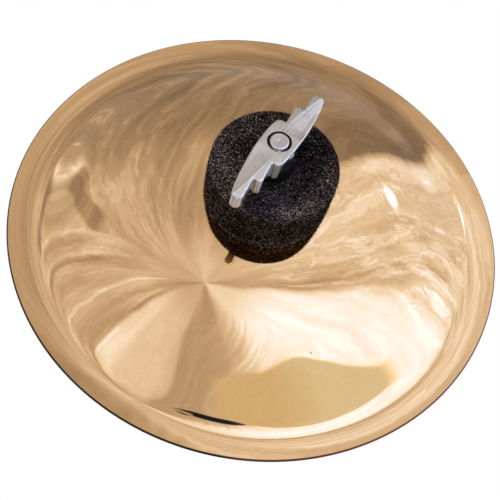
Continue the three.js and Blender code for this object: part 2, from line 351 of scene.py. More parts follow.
# %% Folds
# In two places the folds are drawn aside
drawn = tent.between(turn, -92, -32, 10) * 1.6 + tent.between(turn, 100, 160, 12) * 0.6
fold_turn = (turn + drawn * (tilt - 30)) * (math.pi / 180)
fold_place = tent.join(tent.math("COSINE", fold_turn), tent.math("SINE", fold_turn), plain_tilt / 240)
broad_folds = tent.noise(fold_place, 4.6, 2) - 0.5
small_folds = tent.noise(fold_place, 12.0, 3, 0.55)
light_lines = tent.pulse(small_folds, 0.57, 0.012) + tent.pulse(broad_folds, 0.05, 0.006)
dark_lines = tent.pulse(small_folds, 0.53, 0.010) + tent.pulse(small_folds, 0.43, 0.008)
busy = 0.55 + tent.between(turn, 17, 63, 3) * 0.8 + tent.between(turn, 108, 148, 8) * 0.5
drape = tent.ease(tilt, 8, 24) * (1 - ochre * 0.85) * (1 - tent.between(turn, -141, -66, 4) * 0.6)
drape = drape * (1 - tent.between(turn, -44, 14, 5) * 0.55) * (1 + tent.between(turn, 140, 179, 6) * 0.25)
light = light * (1 + (broad_folds * 0.9 + (small_folds - 0.5) * 0.9) * drape)
light = light * (1 + (light_lines * 0.22 - dark_lines * 0.17) * busy * drape)

# Turn high up, turn low down, first and last tilt, half width, and how much it lightens the cloth
FOLDS = (
    (-174, -174, 15, 56, 0.7, 0.20), (-166.5, -162.5, 14, 58, 1.1, 0.34), (-151, -142.5, 18, 52, 1.2, 0.30),
    (-170, -168, 16, 56, 2.2, -0.14), (-157, -155, 16, 56, 3.2, -0.12), (-146, -143.5, 24, 56, 1.0, -0.20),
    (19, 30, 22, 98, 0.8, 0.26), (21.5, 33, 22, 98, 0.7, -0.18), (26, 38, 40, 100, 0.6, 0.22),
    (30, 42, 26, 100, 0.7, -0.14), (36, 47, 50, 100, 0.7, 0.16), (160.5, 146, 48, 79, 5.0, -0.40),
    (152, 141, 52, 84, 2.6, 0.30), (165.8, 165.8, 30, 70, 1.0, 0.22), (169.6, 169.6, 48, 68, 2.0, -0.24),
    (175.6, 175.6, 30, 66, 1.0, 0.24), (178.4, 178.4, 44, 64, 1.6, -0.22), (131, 125, 46, 62, 1.0, 0.45),
    (120, 108, 18, 48, 1.6, -0.16), (136, 126, 18, 44, 1.6, -0.18), (158, 144, 24, 46, 1.4, -0.20),
    (149, 136, 20, 44, 1.0, 0.16), (72, 74, 60, 104, 5.0, -0.16),
)
wavy_turn = plain_turn + ripple * 4
for high_turn, low_turn, first_tilt, last_tilt, half_width, gain in FOLDS:
    middle = high_turn + (low_turn - high_turn) * tent.ease(tilt, first_tilt, last_tilt)
    across = abs(wavy_turn - middle) / half_width
    strip = (1 - tent.ease(across, 0.72, 1.08)) * tent.between(tilt, first_tilt, last_tilt, 2.5)
    light = light * (1 + gain * strip)

# Where a fold catches the lamp: turn, tilt, their half widths, gain
GLINTS = ((144, 81, 3.0, 3.5, 1.1), (127.5, 57, 1.6, 5.0, 0.35))
for spot_turn, spot_tilt, wide, tall, gain in GLINTS:
    light = light * (1 + gain * tent.pulse(turn, spot_turn, wide) * tent.pulse(tilt, spot_tilt, tall))
print(len(FOLDS), "folds and", len(GLINTS), "glints")

# %% [markdown]
# Under the object the tent ends and it is dark. A lamp shines through the cloth at one spot, with a
# faint level glare beside it. The lamp outside is warm, so cloth in the shade is warm and cloth in full
# light looks cool beside it. A Light Path node shows the tent to the bronze and white to the camera.

# %% Lamp spot, colour and world
rise = tent.split(heading)[2]
light = light * tent.ease(rise, -0.72, -0.42)

LAMP_TURN, LAMP_TILT = 52.7, 73.6
lamp = tent.pulse(plain_turn, LAMP_TURN, 1.9) * tent.pulse(plain_tilt, LAMP_TILT, 1.6)
glare = tent.pulse(plain_turn, LAMP_TURN, 5.0) * tent.pulse(plain_tilt, LAMP_TILT, 0.55)
light = light + lamp * 7 + glare * 0.7

# Brightness of the cloth, and the red and blue in its light beside a green of 1
TINTS = (
    (0.30, 1.03, 0.95), (0.50, 1.01, 0.93), (0.65, 0.98, 0.97), (0.75, 0.95, 1.02), (0.90, 0.90, 1.07),
    (1.05, 0.87, 1.14), (1.25, 0.82, 1.26), (1.50, 0.73, 1.50), (1.75, 0.66, 1.72),
)
# A ramp's colours run from 0 to 1, so these go in at half their strength and are doubled below
stops = [(level / BRIGHTEST, (red / 2, 1 / 2, blue / 2)) for level, red, blue in TINTS]
cloth_colour = tent.add("ShaderNodeValToRGB", {"stops": stops}, {"Fac": light / BRIGHTEST}, "Color")
brown = tent.tint(tent.ease(turn, -54, -28), (0.475, 0.485, 0.40), (0.525, 0.62, 0.585))
tent_colour = tent.scaled(tent.tint(ochre, cloth_colour, brown), light * 2)

seen = tent.add("ShaderNodeLightPath", output="Is Camera Ray")
room = tent.add("ShaderNodeBackground", (), {"Color": tent_colour, "Strength": 1.0}, "Background")
paper = tent.add("ShaderNodeBackground", (), {"Color": (1, 1, 1), "Strength": 1.0}, "Background")
both = tent.add("ShaderNodeMixShader", (), {0: seen, 1: room, 2: paper}, "Shader")
tent.add("ShaderNodeOutputWorld", (), {"Surface": both}, None)
print("light tent with", len(world.node_tree.nodes), "nodes")

# %% [markdown]
# One soft lamp high at the back left gives the nut its shadow on the felt. It is hidden from mirrors,
# because the tent already has its own lamp. The floor is a pale light table just under the post's foot.
# It glows white like the paper round it, so no horizon shows.

# %% Lamp and floor
lamp_data = bpy.data.lights.new("key_lamp", "AREA")
lamp_data.shape = "DISK"
lamp_data.size = 0.16
lamp_data.energy = 5.0
key_lamp = bpy.data.objects.new("key_lamp", lamp_data)
bpy.context.scene.collection.objects.link(key_lamp)
key_lamp.location = (-0.32, 0.22, 0.62)
key_lamp.rotation_mode = "QUATERNION"
toward_nut = Vector((0, 0, 0.07)) - key_lamp.location
key_lamp.rotation_quaternion = toward_nut.to_track_quat("-Z", "Y")
key_lamp.visible_glossy = False

FLOOR_SIDE = 6.0
floor_mesh = bmesh.new()
bmesh.ops.create_grid(floor_mesh, x_segments=1, y_segments=1, size=FLOOR_SIDE / 2)
floor_data = bpy.data.meshes.new("floor")
floor_mesh.to_mesh(floor_data)
floor_mesh.free()
floor = bpy.data.objects.new("floor", floor_data)
bpy.context.scene.collection.objects.link(floor)
floor.location.z = -0.2 * MM
floor.visible_glossy = False
floor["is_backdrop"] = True

floor_finish = bpy.data.materials.new("pale_floor")
floor_finish.use_nodes = True
paper_bench = Bench(floor_finish.node_tree)
glow = paper_bench.add("ShaderNodeEmission", (), {"Color": (1, 1, 1), "Strength": 1.0}, "Emission")
paper_bench.add("ShaderNodeOutputMaterial", (), {"Surface": glow}, None)
floor_data.materials.append(floor_finish)

bpy.context.scene.view_settings.view_transform = "Standard"
print("lamp and floor ready")

# %% [markdown]
# A finish is made by a function that fills one material. Each function ends in the same way, so the
# start and the end are helpers: one gives the place on the object in metres, one closes the material.

# %% Start and end of a finish
def new_finish(name):
    finish = bpy.data.materials.new(name)
    finish.use_nodes = True
    bench = Bench(finish.node_tree)
    spot = bench.add("ShaderNodeTexCoord", output="Object")
    return finish, bench, spot


def close_finish(bench, inputs, height=None, depth=0.1 * MM, leaning=None):
    """The shader with its inputs, and a bump of the given depth in metres over the leaning normal."""
    inputs = dict(inputs)
    if height is not None:
        bump = {"Height": height, "Distance": depth, "Strength": 1.0}
        if leaning is not None:
            bump["Normal"] = leaning
        inputs["Normal"] = bench.add("ShaderNodeBump", (), bump, "Normal")
    shader = bench.add("ShaderNodeBsdfPrincipled", (), inputs, "BSDF")
    bench.add("ShaderNodeOutputMaterial", (), {"Surface": shader}, None)


print("finish helpers ready")

# %% [markdown]
# The bronze is polished to a mirror after turning. What is left of the lathe is very fine rings, and
# the polisher's mop leaves the surface a touch wavy, so straight folds of the tent look drawn by hand.
# A thin clear lacquer lies over it. A few pinholes of the casting stay as dark specks. The mop has worn
# the knee at the back, and the knee's front has one dark scar. Both lean the normal towards the axis, so
# the mirror shows another part of the tent there than the shape alone would.

# %% Bronze finish
SCAR_MIDDLE = 1.2 * MM
SCAR_HALF_LENGTH = 11.2 * MM
SCAR_RADIUS = 65.86 * MM
SLIVER_RADIUS = 66.24 * MM


def mop_lean(bench, x, y, radius):
    """The normal where the knee is worn or scarred, and the scar's mask."""
    at_back = bench.ease(y * 0.97 + x * 0.35, 4 * MM, 26 * MM)
    worn = at_back * bench.between(radius, 60 * MM, 66.5 * MM, 5 * MM)
    # The scar follows the knee, ends blunt, and is wider and further out at its left end
    along = (x - SCAR_MIDDLE) / SCAR_HALF_LENGTH
    left_end = bench.ease(x, -3 * MM, -8 * MM)
    half_width = (1 - along ** 4.0) * 0.60 * MM + left_end * 0.25 * MM
    off_scar = abs(radius - SCAR_RADIUS - left_end * 0.4 * MM)
    in_front = bench.math("LESS_THAN", y, 0.0)
    scar = (1 - bench.ease(off_scar - half_width, -0.15 * MM, 0.08 * MM)) * in_front
    # A sliver inside it stays polished
    sliver = bench.between(x, -10.5 * MM, -4.4 * MM, 0.7 * MM)
    scar = scar * (1 - sliver * bench.pulse(radius, SLIVER_RADIUS, 0.22 * MM))
    lean = worn * -0.27 + scar * -0.30
    direction = bench.join(x / radius * lean, y / radius * lean, 0.0)
    settings = {"vector_type": "VECTOR", "convert_from": "OBJECT", "convert_to": "WORLD"}
    turned = bench.add("ShaderNodeVectorTransform", settings, {"Vector": direction}, "Vector")
    plain = bench.add("ShaderNodeNewGeometry", output="Normal")
    return bench.vector("NORMALIZE", bench.vector("ADD", plain, turned)), scar


def bronze_finish():
    finish, bench, spot = new_finish("polished_bronze")
    x, y, z = bench.split(spot)
    radius = bench.from_axis(x, y)
    ring_place = bench.join(radius, z * 0.2, 0.0)
    rings = bench.noise(ring_place, 1400.0, 2, 0.6)
    broad_rings = bench.noise(ring_place, 260.0, 2)
    waves = bench.noise(spot, 55.0, 2)
    ripples = bench.noise(spot, 320.0, 2)
    pinholes = bench.add(
        "ShaderNodeTexVoronoi", {"feature": "F1"}, {"Vector": spot, "Scale": 160.0}, ("Distance", "Color"),
    )
    chosen = bench.math("GREATER_THAN", bench.split(pinholes[1])[0], 0.93)
    specks = (1 - bench.ease(pinholes[0], 0.03, 0.06)) * chosen
    flecks = bench.noise(bench.vector("MULTIPLY", spot, (1.0, 1.0, 0.4)), 1100.0, 3, 0.7)
    tone = bench.noise(spot, 26.0, 3)
    # The rim's turned edge isn't polished and is painted near black, a painted dark reflection. The scar is
    # painted near black too, redder at its right end
    leaning, scar = mop_lean(bench, x, y, radius)
    edge = bench.ease(radius, 75.75 * MM, 75.9 * MM)
    dull_and_darkened = bench.math("MAXIMUM", edge * 0.96, scar * 0.99)
    right_end = bench.ease(x, 7 * MM, 11 * MM)
    painted_dark = bench.tint(right_end * 0.6, (0.008, 0.005, 0.004), (0.20, 0.035, 0.01))
    colour = bench.coats(
        bench.tint(tone, (0.885, 0.515, 0.250), (0.915, 0.550, 0.283)),
        (specks * 0.7, (0.22, 0.12, 0.06)),
        (bench.ease(flecks, 0.52, 0.72) * 0.16, (0.97, 0.64, 0.37)),
        (bench.ease(flecks, 0.48, 0.30) * 0.13, (0.62, 0.34, 0.15)),
        # Painted near black on the rim's edge and on the scar
        (dull_and_darkened, painted_dark),
    )
    roughness = 0.03 + rings * 0.03 + specks * 0.3 + dull_and_darkened * 0.2
    height = waves * 0.5 + ripples * 0.012 + rings * 0.0012 + broad_rings * 0.01 - specks * 0.02
    close_finish(bench, {
        "Base Color": colour, "Metallic": 1.0, "Roughness": roughness,
        "Coat Weight": 0.2 * (1 - dull_and_darkened), "Coat Roughness": 0.03, "Coat IOR": 1.45,
    }, height, 0.25 * MM, leaning)
    return finish


polished_bronze = bronze_finish()
print("finish", polished_bronze.name)

# %% [markdown]
# Geometry Nodes trees below share a start, the named inputs, and an end, Realize Instances and Set
# Material. The modifier's result is copied into a plain mesh, and the modifier goes.

# %% Tree helpers
SEAM_DISTANCE = 1e-6


def new_tree(name, sizes, takes_mesh=False):
    """A Geometry Nodes tree with named number inputs. Gives the tree, its bench and the inputs by name."""
    tree = bpy.data.node_groups.new(name, "GeometryNodeTree")
    bench = Bench(tree)
    if takes_mesh:
        tree.interface.new_socket("Geometry", in_out="INPUT", socket_type="NodeSocketGeometry")
    for label, value in sizes.items():
        kind = "NodeSocketInt" if isinstance(value, int) else "NodeSocketFloat"
        tree.interface.new_socket(label, in_out="INPUT", socket_type=kind)
    tree.interface.new_socket("Geometry", in_out="OUTPUT", socket_type="NodeSocketGeometry")
    start = bench.add("NodeGroupInput", output=None)
    values = {socket.name: Wire(bench, socket) for socket in start.outputs if socket.name}
    return tree, bench, values


def close_tree(bench, shape, finish):
    real = bench.add("GeometryNodeRealizeInstances", (), {"Geometry": shape}, "Geometry")
    paint = {"Geometry": real, "Material": finish}
    painted = bench.add("GeometryNodeSetMaterial", (), paint, "Geometry")
    bench.add("NodeGroupOutput", (), {"Geometry": painted}, None)


def grown(name, tree, sizes, source=None):
    """The mesh that a tree makes, as a plain object."""
    data = source if source is not None else bpy.data.meshes.new(name + "_start")
    holder = bpy.data.objects.new(name + "_start", data)
    bpy.context.scene.collection.objects.link(holder)
    modifier = holder.modifiers.new("tree", "NODES")
    modifier.node_group = tree
    for item in tree.interface.items_tree:
        if item.in_out == "INPUT" and item.name in sizes:
            modifier[item.identifier] = sizes[item.name]
    graph = bpy.context.evaluated_depsgraph_get()
    mesh = bpy.data.meshes.new_from_object(holder.evaluated_get(graph), depsgraph=graph)
    bpy.data.objects.remove(holder)
    mesh.name = name
    piece = bpy.data.objects.new(name, mesh)
    bpy.context.scene.collection.objects.link(piece)
    tell_size(piece)
    return piece


def tell_size(piece):
    """Prints a piece's triangles, box and volume. A volume below 0 would mean faces that point in."""
    mesh = piece.data
    triangles = sum(len(face.vertices) - 2 for face in mesh.polygons)
    box = [[end(v.co[axis] for v in mesh.vertices) for axis in range(3)] for end in (min, max)]
    solid = bmesh.new()
    solid.from_mesh(mesh)
    volume = solid.calc_volume(signed=True) / MM ** 3
    loose = sum(1 for edge in solid.edges if not edge.is_manifold)
    solid.free()
    print(piece.name, triangles, "triangles, box", shown(box), "mm")
    print(piece.name, round(volume, 1), "cubic mm,", loose, "open edges")


def sheet_of_turns(bench, sides, stations):
    """A grid whose columns go once round the axis and whose rows run along the section."""
    inputs = {"Size X": 1.0, "Size Y": 1.0, "Vertices X": sides + 1, "Vertices Y": stations}
    grid = bench.add("GeometryNodeMeshGrid", (), inputs, "Mesh")
    at = bench.add("GeometryNodeInputPosition", output="Position")
    x, y, _ = bench.split(at)
    angle = (x + 0.5) * (2 * math.pi)
    along = y + 0.5
    return grid, angle, along


def turned_round(bench, grid, angle, radius, height, flip=False):
    """Bends the grid round the axis and closes its seams."""
    spot = bench.join(radius * bench.math("COSINE", angle), radius * bench.math("SINE", angle), height)
    bent = bench.add("GeometryNodeSetPosition", (), {"Geometry": grid, "Position": spot}, "Geometry")
    seam = {"Geometry": bent, "Distance": SEAM_DISTANCE}
    closed = bench.add("GeometryNodeMergeByDistance", (), seam, "Geometry")
    if flip:
        closed = bench.add("GeometryNodeFlipFaces", (), {"Mesh": closed}, "Mesh")
    return bench.add("GeometryNodeSetShadeSmooth", (), {"Geometry": closed}, "Geometry")


print("tree helpers ready")

# %% [markdown]
# The bell is cast and turned, so its section is one rule: a dome that falls gently at first and
# steeply later, and a rounded knee where it meets the flat flange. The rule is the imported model's own.
# A tree bends a fine grid by it, because a mirror shows every facet: the section runs out along the
# outer face, round the rim and back along the inner face, with its stations closest at the two edges.

# %% Bell cymbal
BELL = {
    "Rim radius": 76.2 * MM, "Hole radius": 5.3 * MM, "Crown height": 26.3 * MM,
    "Foot radius": 66.6 * MM, "Flange height": RIM_HEIGHT, "Knee rise": 2.0 * MM,
    "Crown wall": 2.4 * MM, "Rim wall": 1.2 * MM, "Sides": 240, "Stations": 380,
}
CROWN_TOP = 58 * MM
# How much of the dome's fall is the late, steep part, and how much of the section rounds an edge
STEEP_SHARE = 0.5
EDGE_ROUNDING_SHARE = 0.12


def bell_skin(bench, values, radius):
    """Height and slope of the bell's outer face."""
    share = radius / values["Foot radius"]
    early = (1 - STEEP_SHARE) * share ** 2.0
    late = STEEP_SHARE * share ** 4.0
    dome = values["Crown height"] * (1 - early - late)
    steepness = 2 * (1 - STEEP_SHARE) * share + 4 * STEEP_SHARE * share ** 3.0
    dome_slope = values["Crown height"] * steepness / values["Foot radius"] * -1
    knee = values["Knee rise"] * 2
    rounded = bench.math("SQRT", dome * dome + knee * knee)
    height = values["Flange height"] + (dome + rounded) / 2
    slope = dome_slope * (1 + dome / rounded) / 2
    return height, slope


def bell_wall(bench, values, radius):
    """The wall's thickness, measured straight down."""
    _, slope = bell_skin(bench, values, radius)
    share = radius / values["Rim radius"]
    wall = values["Crown wall"] + (values["Rim wall"] - values["Crown wall"]) * share
    return wall * bench.math("SQRT", 1 + slope * slope)


bell_tree, bell_bench, bell_values = new_tree("turn_a_bell", BELL)
grid, angle, along = sheet_of_turns(bell_bench, bell_values["Sides"], bell_values["Stations"])
section_turn = along * (2 * math.pi)
outward = (1 - bell_bench.math("COSINE", section_turn)) / 2
radius = bell_values["Hole radius"] + (bell_values["Rim radius"] - bell_values["Hole radius"]) * outward
over = bell_bench.math("SINE", section_turn) / EDGE_ROUNDING_SHARE
depth = (1 - bell_bench.math("MAXIMUM", bell_bench.math("MINIMUM", over, 1.0), -1.0)) / 2
skin, _ = bell_skin(bell_bench, bell_values, radius)
height = skin - bell_wall(bell_bench, bell_values, radius) * depth
bell_shape = turned_round(bell_bench, grid, angle, radius, height, flip=True)
close_tree(bell_bench, bell_shape, polished_bronze)

bell = grown("bell_bowl", bell_tree, BELL)
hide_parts("bell_cymbal")
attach(bell, "cymbal")
print("bell node", shown(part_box("bell_cymbal")), "mm")

# %% [markdown]
# Pressed felt is wool matted until it holds its shape: charcoal, with paler fibres caught in it at all
# angles. The finish gives the matted ground, with bump at the size of the fibres, and real fibres are
# laid over it below. Fibres carry their own shade, from nearly black to pale grey, as an attribute.
# Noise gives the logarithm of the shade, because felt has many dark fibres and few pale ones. The top
# is paler towards the front, and the foot is paler where the bronze throws light on it, a painted light;
# the side is painted warmer by the same painted light.

# %% Felt finishes
# Heights between which the upper felt's side turns into its top, and the bronze's light fades
TURN_TO_TOP = 71 * MM, 74 * MM
LIT_BY_BRONZE = 58.5 * MM, 63.5 * MM


def felt_shade(bench, spot, depth):
    """The felt's colour: brownish where it is black, grey where it is pale, and paler and warmer near the
    bronze, painted light thrown by it.
    """
    x, y, z = bench.split(spot)
    on_top = bench.ease(z, *TURN_TO_TOP)
    # The top is paler towards the front, and the whole felt a little darker
    paler_towards_front = bench.ease(y + x * 0.2, 13 * MM, -13 * MM) * on_top * 0.85 - 0.45
    # Paler low down near the bell, a painted light thrown by the bronze
    by_bronze = 1 - bench.ease(z, *LIT_BY_BRONZE)
    level = bench.math("EXPONENT", depth + paler_towards_front + by_bronze * 0.45)
    warm = bench.tint(bench.ease(level, 0.004, 0.09), (1.75, 1.0, 0.80), (1.17, 1.0, 0.95))
    # The side is painted warmer, a painted warm light thrown by the bronze
    warm = bench.tint((1 - on_top) * 0.5, warm, (1.8, 1.05, 0.70))
    return bench.scaled(warm, bench.math("MINIMUM", level, 0.35))


def felt_finish():
    finish, bench, spot = new_finish("charcoal_felt")
    matted = bench.noise(spot, 2300.0, 3, 0.75)
    clumps = bench.noise(spot, 800.0, 2, 0.6)
    clouds = bench.noise(spot, 110.0, 2)
    depth = (matted - 0.5) * 22 + (clumps - 0.5) * 5 + (clouds - 0.5) * 3 - 5.0
    close_finish(bench, {
        "Base Color": felt_shade(bench, spot, depth), "Roughness": 0.95, "Specular IOR Level": 0.0,
    }, matted * 0.8 + clumps, 0.3 * MM)
    return finish


def fibre_finish():
    finish, bench, spot = new_finish("felt_fibres")
    shade = bench.add("ShaderNodeAttribute", {"attribute_name": "shade"}, output="Fac")
    along = bench.noise(spot, 1500.0, 1)
    depth = (shade - 0.5) * 6.0 + (along - 0.5) * 8 - 4.7
    close_finish(bench, {
        "Base Color": felt_shade(bench, spot, depth), "Roughness": 0.8, "Specular IOR Level": 0.0,
    })
    return finish


charcoal_felt = felt_finish()
felt_fibres = fibre_finish()
print("finishes", charcoal_felt.name, felt_fibres.name)

# %% [markdown]
# Each felt is a thick washer with rounded edges. Its face towards the bell follows the same bell rule
# a running gap away, because real felt takes the shape of what it presses on. The section is a
# rounded rectangle, and noise along the normals makes the surface lumpy, least on the face that
# meets the bell. The nut has pressed a dish into the upper felt, and its top leans a little to one side.

# %% Felt bodies
GAP = 0.3 * MM
FELT_SIZES = {
    "Hole radius": 4.8 * MM, "Outer radius": 19.5 * MM, "Flat height": 73.8 * MM, "Dish": 1.1 * MM,
    "Taper": 0.7 * MM, "Lean": 0.55 * MM, "Rounding": 0.9 * MM, "Lumps": 0.22 * MM,
    "Sides": 300, "Stations": 124,
}
LOWER_FELT_SIZES = {
    **FELT_SIZES, "Outer radius": 15.0 * MM, "Flat height": 47.3 * MM, "Dish": 0.0, "Taper": 0.0,
    "Lean": 0.0, "Sides": 220, "Stations": 92,
}
BELL_RULE = (
    "Rim radius", "Crown height", "Foot radius", "Flange height", "Knee rise", "Crown wall", "Rim wall",
)
bell_sizes = {key: BELL[key] for key in BELL_RULE}


def felt_tree(name, over_bell):
    """A washer between the bell and a flat face, over or under the bell."""
    tree, bench, values = new_tree(name, {**FELT_SIZES, **bell_sizes})
    grid, angle, along = sheet_of_turns(bench, values["Sides"], values["Stations"])
    section_turn = along * (2 * math.pi)
    half_width = (values["Outer radius"] - values["Hole radius"]) / 2
    middle = (values["Outer radius"] + values["Hole radius"]) / 2

    def side_of_box(direction, half):
        """One coordinate of a rounded rectangle, from -1 to 1 over its half size."""
        inner = half - values["Rounding"]
        reach = bench.math("MINIMUM", bench.math("MAXIMUM", direction * half * 1.6, inner * -1), inner)
        return (reach + values["Rounding"] * direction) / half

    half_height = abs(values["Flat height"] - CROWN_TOP) / 2
    radius = middle + half_width * side_of_box(bench.math("COSINE", section_turn), half_width)
    share = (side_of_box(bench.math("SINE", section_turn), half_height) + 1) / 2
    skin, slope = bell_skin(bench, values, radius)
    clear = bench.math("SQRT", 1 + slope * slope) * GAP
    if over_bell:
        low = skin + clear
        outside_dish = bench.ease(radius, 6.8 * MM, 13.6 * MM)
        top = values["Flat height"] + values["Dish"] * outside_dish
        height = low + (top - low) * share
        free = share
    else:
        high = skin - bell_wall(bench, values, radius) - clear
        height = values["Flat height"] + (high - values["Flat height"]) * share
        free = 1 - share
    lean = values["Lean"] * bench.math("COSINE", angle) * free
    outer = bench.ease(radius, 12 * MM, 18.5 * MM)
    radius = radius + outer * (lean - values["Taper"] * (1 - free))
    shape = turned_round(bench, grid, angle, radius, height)
    at = bench.add("GeometryNodeInputPosition", output="Position")
    normal = bench.add("GeometryNodeInputNormal", output="Normal")
    lumps = bench.noise(at, 170.0, 2) * 0.8 + bench.noise(at, 900.0, 3, 0.65) * 1.6 - 1.3
    hold = bench.ease(free, 0.0, 0.12) * bench.ease(radius, 5.2 * MM, 6.6 * MM)
    push = bench.scaled(normal, lumps * values["Lumps"] * hold)
    shape = bench.add("GeometryNodeSetPosition", (), {"Geometry": shape, "Offset": push}, "Geometry")
    close_tree(bench, shape, charcoal_felt)
    return tree


upper_felt = grown("felt_upper", felt_tree("press_upper_felt", True), {**FELT_SIZES, **bell_sizes})
lower_felt = grown("felt_lower", felt_tree("press_lower_felt", False), {**LOWER_FELT_SIZES, **bell_sizes})

# %% [markdown]
# Loose fibres stand a hair's breadth off the felt and lie every way. A tree scatters points over a
# felt's outer faces, puts a short curved fibre on each, lies it flat, turns it at random and gives it
# a length and a shade of its own. A few stand up and make the felt's edge fuzzy. A fibre has three sides,
# one bend and closed ends, fourteen triangles in all, because there are thousands.

# %% Felt fibres
FIBRES = {"Fibres per square metre": 3.4e6, "Length": 1.5 * MM, "Thickness": 0.045 * MM, "Seed": 7}


def fibre_tree(name, lowest, highest):
    """Fibres over the faces whose middle lies between two heights."""
    tree, bench, values = new_tree(name, FIBRES, takes_mesh=True)
    at = bench.add("GeometryNodeInputPosition", output="Position")
    x, y, z = bench.split(at)
    outer = bench.math("GREATER_THAN", bench.from_axis(x, y), 6.5 * MM)
    inside = bench.math("GREATER_THAN", z, lowest) * bench.math("LESS_THAN", z, highest)
    chosen = outer * inside
    spread = bench.add("GeometryNodeDistributePointsOnFaces", {"distribute_method": "RANDOM"}, {
        "Mesh": values["Geometry"], "Density": values["Fibres per square metre"] * chosen,
        "Seed": values["Seed"],
    }, ("Points", "Rotation"))
    bow = bench.add("GeometryNodeCurveQuadraticBezier", (), {
        "Resolution": 4,
        "Start": (-0.5, 0.0, -0.02), "Middle": (0.05, 0.16, 0.16), "End": (0.5, 0.0, -0.02),
    }, "Curve")
    bow = bench.add("GeometryNodeResampleCurve", (), {"Curve": bow, "Count": 3}, "Curve")
    section = bench.add("GeometryNodeCurvePrimitiveCircle", (), {"Resolution": 3, "Radius": 0.5}, "Curve")
    thin = values["Thickness"] / values["Length"]
    thinned = {"Geometry": section, "Scale": bench.join(thin, thin, thin)}
    small_section = bench.add("GeometryNodeTransform", (), thinned, "Geometry")
    fibre = bench.add("GeometryNodeCurveToMesh", (), {
        "Curve": bow, "Profile Curve": small_section, "Fill Caps": True,
    }, "Mesh")
    spin = bench.add("FunctionNodeRandomValue", {"data_type": "FLOAT_VECTOR"}, {
        0: (-0.3, -0.5, 0.0), 1: (0.3, 0.1, 6.283), "Seed": values["Seed"],
    }, 0)
    roll, rise, course = bench.split(spin)
    # The cube of a random number is nearly 0 for most fibres, so only a few stand up
    stray = bench.random(0.0, 1.0, values["Seed"] + 9)
    spin = bench.join(roll, rise - stray ** 3.0, course)
    turned_fibre = bench.add("FunctionNodeRotateRotation", {"rotation_space": "LOCAL"}, {
        "Rotation": spread[1], "Rotate By": bench.add("FunctionNodeEulerToRotation", (), {"Euler": spin}),
    })
    size = bench.random(0.45, 1.25, values["Seed"] + 3)
    laid = bench.add("GeometryNodeInstanceOnPoints", (), {
        "Points": spread[0], "Instance": fibre, "Rotation": turned_fibre,
        "Scale": size * values["Length"],
    }, "Instances")
    shade = bench.random(0.0, 1.0, values["Seed"] + 5)
    shaded = bench.add(
        "GeometryNodeStoreNamedAttribute", {"data_type": "FLOAT", "domain": "INSTANCE"},
        {"Geometry": laid, "Name": "shade", "Value": shade}, "Geometry",
    )
    close_tree(bench, shaded, felt_fibres)
    return tree


upper_fibres = grown(
    "felt_fibres_upper", fibre_tree("scatter_upper_fibres", 57 * MM, 75.6 * MM), FIBRES, upper_felt.data,
)
lower_fibres = grown(
    "felt_fibres_lower", fibre_tree("scatter_lower_fibres", 48.2 * MM, 55 * MM), FIBRES, lower_felt.data,
)

# %% [markdown]
# When the bell rocks, the felts stay round the stud but their faces on the bronze go with it. Here the
# felts and their fibres stay where they were made, and the felts' nodes in the imported model are hidden.

# %% Felts in place
# The height up to which a felt stays with the stud, and the one from which it follows the bell
FELT_FACES = {
    "upper_felt": ((upper_felt, upper_fibres), 73.5 * MM, 58.6 * MM),
    "lower_felt": ((lower_felt, lower_fibres), 47.6 * MM, 55.3 * MM),
}
for node, (pieces, flat_face, bell_face) in FELT_FACES.items():
    for piece in pieces:
        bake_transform(piece)
    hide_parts(node)
    print(node, shown(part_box(node)), "mm")

# %% [markdown]
# The wing nut is a zinc casting, plated and tumbled to a satin sheen. The finish tells its tops from its
# walls by the normal: tops are brushed along the wings, and walls keep upright dark streaks of the mould
# and are painted darker than the tops, a painted shade. A ridge runs along each wing, in a gentle bend,
# with a painted highlight along it. The foot, the hub's wall and the bore are painted near black, a painted
# shade.

# %% Zinc finish
NUT_FLOOR = 74.1 * MM
WING_TURN = math.radians(69)
# How far the ridge lies off the wing's middle line at the hub, and how fast it bends across it
RIDGE_START = 1.35 * MM
RIDGE_BEND = 4.8


